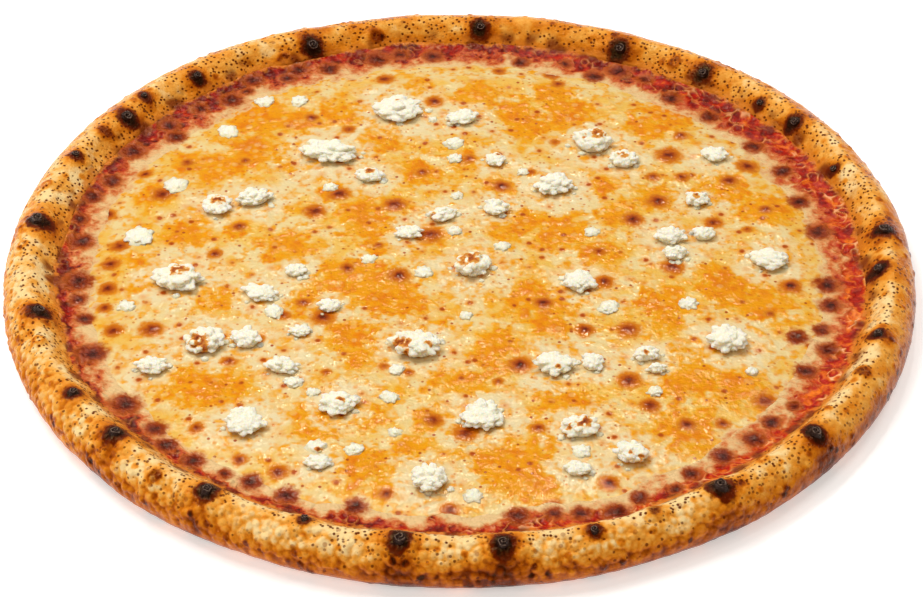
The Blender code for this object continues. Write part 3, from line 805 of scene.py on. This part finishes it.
def build_sheet(finish):
    """The melted cheese, from rings of points that are all about as far apart."""
    ring_count = round(CHEESE_RADIUS / SHEET_CELL)
    counts = [max(6, round(FULL_TURN * step)) for step in range(1, ring_count + 1)]
    rings = []
    for step, count in enumerate(counts, 1):
        angles = np.arange(count) * FULL_TURN / count
        rings.append(on_circle(CHEESE_CENTRE, cheese_edge(angles) * step / ring_count, angles))
    spots = np.concatenate(rings)
    top = np.concatenate([spots, sheet_height(spots)[:, None]], -1)
    foot = flat(mix(rings[-1], np.array(CHEESE_CENTRE), SHEET_WALL_LEAN), CHEESE_BOTTOM)
    middle = np.array(CHEESE_CENTRE)[None]
    middles = np.concatenate([middle, sheet_height(middle)[:, None]], -1)
    points = np.concatenate([top, foot, middles, flat(middle, CHEESE_BOTTOM)])
    faces = closed_faces(counts + [counts[-1]])
    masks = sheet_masks(points[:, :2])
    make_piece("cheese_sheet", points, faces, finish, node="melted_cheese", slot="melted_cheese", **masks)


def ball(fineness):
    """Directions spread evenly all round, and the triangles between them."""
    bm = bmesh.new()
    bmesh.ops.create_icosphere(bm, subdivisions=fineness, radius=1)
    directions = np.array([vertex.co for vertex in bm.verts])
    faces = [[vertex.index for vertex in face.verts] for face in bm.faces]
    bm.free()
    return directions, faces


CURD_SIZE = 2.6 * MM  # of the lumps in a crumble's skin
FINE_CURD_SIZE = 1.2 * MM
CRUMBLE_CORE = 0.76  # how far the middle reaches, as a share of a crumble's half width
LEAST_BUMPS = 18
BUMP_EVERY = 0.5 * MM  # one more bump for each such step of a crumble's length
CRUMBLE_SKIRT = 0.4 * MM  # how far its foot goes into the sheet


def clump(directions, place, size, turn, sunk, rng):
    """Points of a crumble: round curds pressed together in a low dome that lies on the sheet."""
    length, width, height = size
    reach = np.full(len(directions), CRUMBLE_CORE)
    for _ in range(int(LEAST_BUMPS + length / BUMP_EVERY)):
        heading = rng.normal(size=3)
        heading[2] = abs(heading[2]) * 0.7
        middle = heading / np.linalg.norm(heading) * rng.uniform(0.6, 0.88)
        radius = rng.uniform(0.12, 0.24)
        along = directions @ middle
        under = along**2 - middle @ middle + radius**2
        hit = along + np.sqrt(np.maximum(under, 0))
        reach = np.where((under > 0) & (along > 0), np.maximum(reach, hit), reach)
    body = directions * np.array((length / 2, width / 2, 0.45 * height))
    coarse = np.minimum(lumps(body + place[0] * 3, CURD_SIZE), 1) ** 2
    fine = np.minimum(lumps(body, FINE_CURD_SIZE, place[1] * 90), 1) ** 2
    rough = 0.4 - coarse + 0.7 * (0.4 - fine)
    reach = reach * (1 + 0.13 * rough + 0.08 * waves(body, 1.4 * MM, place[0] * 50))
    body = body * reach[:, None]
    across = np.array(((math.cos(turn), math.sin(turn)), (-math.sin(turn), math.cos(turn))))
    spots = np.array(place) + body[:, :2] @ across
    base = sheet_height(np.array([place]))[0] - sunk
    heights = np.maximum(base + 0.2 * height + body[:, 2], sheet_height(spots) - sunk - CRUMBLE_SKIRT)
    return np.concatenate([spots, heights[:, None]], -1)


def white_masks(points):
    """Numbers for the white cheese's material: how browned it is, and how near it is to the sheet."""
    above = points[:, 2] - sheet_height(points[:, :2])
    browned = spot_strength(points[:, :2], TOASTED, ragged=0.25, reach=0.65)
    patchy = smooth(0.75 + 1.5 * waves(points, 1.6 * MM, 6.1))
    return {"toast": browned * patchy, "sunk": smooth(1 - above / (1.1 * MM))}


def build_crumbles(finish):
    """The large crumbles, each a piece of its own."""
    directions, faces = ball(CRUMBLE_FINENESS)
    for number, (x, y, length, width, height, degrees) in enumerate(CRUMBLES, 1):
        rng = np.random.default_rng(number)
        size = (length * MM, width * MM, height * MM)
        points = clump(directions, (x * MM, y * MM), size, math.radians(degrees), 0, rng)
        make_piece(
            f"curds_{number:02d}", points, faces, finish,
            node=f"crumble_{number:02d}", slot="white_cheese", **white_masks(points),
        )


BITS_PER_CRUMBLE = 4


def fallen_bits(rng):
    """Bits that fell off the crumbles: x, y, width and height in millimetres."""
    for x, y, length, width, _, _ in CRUMBLES:
        for _ in range(BITS_PER_CRUMBLE):
            angle = rng.uniform(0, FULL_TURN)
            reach = rng.uniform(0.42, 0.58)
            across = rng.uniform(1.2, 3.4)
            x_out, y_out = reach * length * math.cos(angle), reach * width * math.sin(angle)
            yield x + x_out, y + y_out, across, 0.5 * across


def build_crumbs(finish):
    """The crumbs that have sunk into the sheet, and the bits that fell off the crumbles."""
    rng = np.random.default_rng(77)
    points, triangles, start = [], [], 0
    for fineness, crumbs in ((CRUMB_FINENESS, CRUMBS), (BIT_FINENESS, fallen_bits(rng))):
        directions, faces = ball(fineness)
        for crumb in crumbs:
            x, y, width, height = (value * MM for value in crumb)
            points.append(clump(directions, (x, y), (width, width, height * 1.2), 0, 0.3 * height, rng))
            triangles += [[start + corner for corner in face] for face in faces]
            start += len(directions)
    points = np.concatenate(points)
    make_piece(
        "sunk_crumbs", points, triangles, finish,
        node="melted_cheese", slot="white_cheese", **white_masks(points),
    )


def crust_finish():
    """Golden baked dough with dark pores, brown marks and black blisters; its browning also carries painted
    light and shade.
    """
    r = Recipe("baked_crust_look")
    middle, fine = r.noise(3 * MM, 2), r.noise(1.1 * MM, 3)
    streaks = r.noise(1.2 * MM, 2, r.stretched(0.15, 0.15, 1))
    low = r.mask("low")
    # The low mask darkens the bottom of the outer side a little more: painted shade. Its streaks are the
    # crust's own.
    bake_and_shading = r.plus(r.mask("bake_and_shading"), r.weigh((middle, 0.09), (fine, 0.05), (low, 0.08)))
    bake_and_shading = r.plus(bake_and_shading, r.times(r.times(streaks, low), 0.22))
    r.colour = r.ramp(bake_and_shading, (
        (0.0, (0.97, 0.69, 0.31)), (0.2, (0.9, 0.4, 0.06)), (0.4, (0.76, 0.23, 0.01)),
        (0.6, (0.48, 0.1, 0.002)), (0.8, (0.18, 0.02, 0.0)), (1.0, (0.04, 0.003, 0.0)),
    ))
    stain = r.range(r.plus(r.mask("stain"), r.times(fine, 0.2)), 0.3, 0.9)
    r.cover(stain, (0.66, 0.19, 0.015), 0.75)
    r.cover(r.mask("caught"), (0.16, 0.014, 0.002), 0.85)
    r.cover(r.speckle(3.6 * MM, 1.0 * MM, 0.4), (0.3, 0.06, 0.006), 0.55)
    pore = r.times(r.speckle(1.5 * MM, 0.58 * MM, 0.8), r.range(r.mask("pores"), 0.1, 0.45))
    pore = r.math("MAXIMUM", pore, r.times(r.speckle(3.4 * MM, 0.65 * MM, 0.6), 0.85))
    r.cover(pore, (0.15, 0.018, 0.0))
    char = r.plus(r.mask("char"), r.times(fine, 0.1))
    r.cover(r.range(char, 0.0, 0.45), (0.13, 0.01, 0.0))
    r.cover(r.range(char, 0.4, 1.05), (0.014, 0.002, 0.001))
    relief = r.weigh((fine, 0.4), (r.noise(0.6 * MM, 1), 0.25), (pore, -1.5))
    bubble, _ = r.cells(1.7 * MM)
    relief = r.plus(relief, r.times(r.times(bubble, bubble), r.times(r.mask("stony"), -0.6)))
    return r.finish(
        Roughness=0.22, Normal=r.bump(relief, 0.16 * MM),
        Specular_IOR_Level=0.18, Specular_Tint=(1.0, 0.6, 0.15),
    )


def knob_finish():
    """Charred dough: black with grey-brown ridges, the grey-brown partly painted highlight."""
    r = Recipe("char_look")
    ridge = r.range(r.plus(r.mask("ridge"), r.times(r.noise(0.8 * MM), 0.25)), 0.55, 1.15)
    # Grey-brown on the ridges: partly the char's own colour, partly painted highlight.
    r.colour = r.blend(ridge, (0.022, 0.005, 0.003), (0.22, 0.14, 0.1))
    return r.finish(
        Roughness=0.25, Normal=r.bump(r.noise(0.5 * MM, 3), 0.12 * MM),
        Specular_IOR_Level=0.35, Specular_Tint=(1.0, 0.8, 0.65),
    )


def sauce_finish():
    """Glossy tomato pulp, pink where cheese has run into it and brown where it has caught, with painted
    highlights on its curls.
    """
    r = Recipe("sauce_look")
    middle, fine = r.noise(2.8 * MM, 2), r.noise(1.1 * MM, 2)
    right_side = r.mask("right_side")
    # Brighter and more orange on the right side.
    tone = r.plus(r.weigh((r.noise(6 * MM, 2), 0.3), (middle, 0.28), (fine, 0.1), (right_side, 0.42)), 0.3)
    r.colour = r.ramp(tone, (
        (0.0, (0.07, 0.0, 0.0)), (0.35, (0.22, 0.001, 0.0)), (0.65, (0.5, 0.01, 0.0)),
        (1.0, (0.9, 0.2, 0.005)),
    ))
    loops = r.mask("loops")
    # Lighter curls along the loops: partly paler pulp, partly painted highlight, strongest on the right
    # side.
    curl = r.times(r.range(loops, 0.2, 0.8), r.plus(r.times(right_side, 0.5), 0.15))
    r.cover(curl, (0.95, 0.3, 0.04))
    # Pale cores of the curls: painted highlight.
    painted_glint = r.times(r.range(loops, 0.7, 1.0), r.plus(r.times(right_side, 0.65), 0.1))
    r.cover(painted_glint, (0.98, 0.6, 0.3))
    edge = r.range(r.plus(r.mask("rim"), r.times(fine, 0.3)), 0.1, 0.9)
    r.cover(edge, (0.7, 0.21, 0.017), 0.9)
    r.cover(r.mask("caught"), (0.16, 0.014, 0.002), 0.85)
    seam_colours(r, middle, fine, 0.05, 0.3)
    relief = r.plus(middle, r.times(fine, 0.4))
    return r.finish(
        Roughness=0.12, Normal=r.bump(relief, 0.3 * MM),
        Specular_IOR_Level=0.3, Specular_Tint=(1.0, 0.6, 0.4),
    )


def seam_colours(r, middle, fine, bare, covered):
    """Adds the pink that cheese and sauce share, and the browned patches on it.

    The colour so far stays where the veil is at bare, and is all pink where it is at covered.
    """
    share = r.mask("veil")
    inner = r.times(r.range(share, 0.0, 0.2), r.range(share, 1.0, 0.8))
    share = r.plus(share, r.times(r.weigh((middle, 0.24), (fine, 0.12)), inner))
    pink = r.ramp(share, (
        (0.0, (0.38, 0.006, 0.0)), (0.2, (0.48, 0.03, 0.003)), (0.42, (0.62, 0.16, 0.035)),
        (0.62, (0.73, 0.37, 0.14)), (0.85, (0.77, 0.52, 0.24)),
    ))
    r.cover(r.range(share, bare, covered), pink)
    heat = r.ragged("seam", r.weigh((middle, 0.12), (fine, 0.1)))
    toast = r.ramp(heat, (
        (0.0, (0.62, 0.2, 0.025)), (0.3, (0.46, 0.09, 0.006)), (0.58, (0.26, 0.026, 0.001)),
        (0.8, (0.11, 0.007, 0.0)), (1.0, (0.04, 0.002, 0.0)),
    ))
    r.cover(r.range(heat, 0.02, 0.5), toast)


def sheet_finish():
    """Melted cheese: cream, with oily orange patches, brown spots and a pink edge."""
    r = Recipe("melted_cheese_look")
    broad, middle, fine = r.noise(9 * MM, 2), r.noise(3 * MM, 1), r.noise(1.1 * MM, 2)
    milky = r.range(r.plus(broad, r.times(middle, 0.3)), -0.4, 0.35)
    r.colour = r.blend(milky, (0.81, 0.48, 0.09), (0.8, 0.61, 0.28))
    gold = r.range(r.weigh((broad, -0.25), (middle, 0.55), (fine, 0.1)), -0.1, 0.5)
    r.cover(gold, (0.8, 0.36, 0.02), 0.8)
    r.cover(r.mask("pale"), (0.8, 0.68, 0.43), 0.65)
    oily = r.plus(r.mask("orange"), r.weigh((broad, -0.1), (middle, 0.42), (fine, 0.12)))
    r.cover(r.range(oily, -0.1, 0.5), (0.81, 0.35, 0.005))
    deep = r.range(r.weigh((broad, 0.3), (middle, 0.45), (fine, 0.15)), -0.35, 0.6)
    oil = r.blend(deep, (0.83, 0.315, 0.0), (0.74, 0.19, 0.0))
    r.cover(r.range(oily, 0.35, 0.85), oil)
    blob = r.speckle(3.1 * MM, 1.5 * MM, 0.45)
    r.cover(blob, (0.84, 0.58, 0.21), 0.3)
    away, chance = r.cells(3.3 * MM)
    dot = r.times(r.range(away, 0.4, 0.05), r.math("LESS_THAN", chance, 0.5))
    r.cover(dot, (0.78, 0.27, 0.005), 0.75)
    away, chance = r.cells(6.5 * MM)
    halo = r.times(r.range(away, 0.42, 0.03), r.math("LESS_THAN", chance, 0.75))
    r.cover(halo, (0.76, 0.24, 0.003), 0.85)
    r.cover(r.range(r.plus(halo, r.times(fine, 0.08)), 0.6, 1.0), (0.42, 0.06, 0.001))
    r.cover(r.speckle(2.4 * MM, 0.6 * MM, 0.6), (0.6, 0.16, 0.003), 0.7)
    r.cover(r.speckle(5 * MM, 0.7 * MM, 0.7), (0.38, 0.05, 0.001), 0.95)
    seam_colours(r, middle, fine, 0.97, 0.75)
    heat = r.ragged("toast", r.weigh((middle, 0.08), (fine, 0.09)))
    toast = r.ramp(heat, (
        (0.0, (0.71, 0.3, 0.02)), (0.3, (0.68, 0.22, 0.005)), (0.58, (0.52, 0.11, 0.002)),
        (0.8, (0.28, 0.03, 0.001)), (1.0, (0.07, 0.005, 0.001)),
    ))
    r.cover(r.range(heat, 0.0, 0.4), toast)
    relief = r.weigh((middle, 0.5), (fine, 0.2), (blob, 0.1))
    return r.finish(
        Roughness=0.13, Normal=r.bump(relief, 0.22 * MM),
        Specular_IOR_Level=0.32, Specular_Tint=(1.0, 0.8, 0.5),
        Subsurface_Weight=0.08, Subsurface_Radius=(3 * MM, 1.5 * MM, 0.5 * MM), Subsurface_Scale=1.0,
    )


def crumble_finish():
    """Soft white cheese with toasted tops."""
    r = Recipe("white_cheese_look")
    fine = r.noise(1.0 * MM, 3)
    r.colour = r.blend(r.range(fine, -0.8, 0.5), (0.97, 0.87, 0.64), (0.99, 0.94, 0.79))
    sunk = r.range(r.plus(r.mask("sunk"), r.times(fine, 0.3)), 0.1, 1.0)
    r.cover(sunk, (0.9, 0.76, 0.46), 0.8)
    toast = r.ragged("toast", r.times(fine, 0.2))
    brown = r.ramp(toast, (
        (0.0, (0.84, 0.6, 0.26)), (0.3, (0.78, 0.34, 0.04)), (0.6, (0.5, 0.11, 0.006)),
        (1.0, (0.16, 0.02, 0.002)),
    ))
    r.cover(r.range(toast, 0.05, 0.3), brown)
    relief = r.plus(fine, r.times(r.noise(0.5 * MM, 1), 0.5))
    return r.finish(
        Roughness=0.5, Normal=r.bump(relief, 0.1 * MM), Specular_IOR_Level=0.2,
        Subsurface_Weight=0.6, Subsurface_Radius=(1.8 * MM, 1.5 * MM, 1 * MM), Subsurface_Scale=1.0,
    )


FLOOR_HALF = 4.0  # metres from its middle to its sides
FLOOR_GAP = 0.05 * MM  # how far it is below the pizza, so that the two don't share a plane


def build_floor():
    """A plain pale floor, which isn't part of the object."""
    r = Recipe("floor_look")
    r.colour = (0.78, 0.78, 0.78)
    finish = r.finish(
        Roughness=0.9, Specular_IOR_Level=0.0, Emission_Color=(1.0, 0.95, 0.91), Emission_Strength=0.52,
    )
    mesh = bpy.data.meshes.new("floor")
    turns = ((-1, -1), (1, -1), (1, 1), (-1, 1))
    mesh.from_pydata([(x * FLOOR_HALF, y * FLOOR_HALF, -FLOOR_GAP) for x, y in turns], [], [(0, 1, 2, 3)])
    mesh.materials.append(finish)
    floor = bpy.data.objects.new("floor", mesh)
    link(floor)


def add_light(kind, name, place, power, **settings):
    """A lamp that shines from this place towards the pizza."""
    lamp = bpy.data.lights.new(name, kind)
    lamp.energy = power
    for setting, value in settings.items():
        setattr(lamp, setting, value)
    light = bpy.data.objects.new(name, lamp)
    light.location = place
    light.rotation_euler = (-Vector(place)).to_track_quat("-Z", "Y").to_euler()
    link(light)


def build_light():
    """A large soft light from the upper left, weaker ones round it, and dim warm surroundings.

    Two weak narrow lights from far away give small bright glints on whatever is wet.
    """
    add_light("AREA", "key", (-0.8, 0.5, 1.7), 23, size=0.9)
    add_light("AREA", "front", (-0.6, -0.8, 1.1), 3, size=0.6)
    add_light("AREA", "back_right", (0.6, 0.7, 1.3), 3, size=0.3)
    add_light("SUN", "gloss_back", (0.0, 0.6, 0.8), 0.4, angle=math.radians(3))
    add_light("SUN", "gloss_right", (0.35, 0.3, 0.89), 0.2, angle=math.radians(3))
    world = bpy.data.worlds.new("surroundings")
    world.use_nodes = True
    background = world.node_tree.nodes["Background"]
    background.inputs["Color"].default_value = (1, 0.92, 0.8, 1)
    background.inputs["Strength"].default_value = 0.28
    bpy.context.scene.world = world
    bpy.context.scene.view_settings.view_transform = "Standard"


def build_camera():
    camera = bpy.data.cameras.new("camera")
    camera.lens = LENS
    camera.clip_end = 20
    view = bpy.data.objects.new("camera", camera)
    back = Vector((0, -math.cos(CAMERA_ELEVATION), math.sin(CAMERA_ELEVATION)))
    view.location = LOOK_AT + CAMERA_DISTANCE * back
    view.rotation_euler = (-back).to_track_quat("-Z", "Y").to_euler()
    link(view)
    bpy.context.scene.camera = view


build_camera()
build_light()
build_floor()
rim_skin, rim_facing, rim_masks = crust_skin()
build_crust(rim_skin, rim_masks, crust_finish())
build_knobs(rim_skin, rim_facing, knob_finish())
build_sauce(sauce_finish())
build_sheet(sheet_finish())
white_cheese = crumble_finish()
build_crumbles(white_cheese)
build_crumbs(white_cheese)
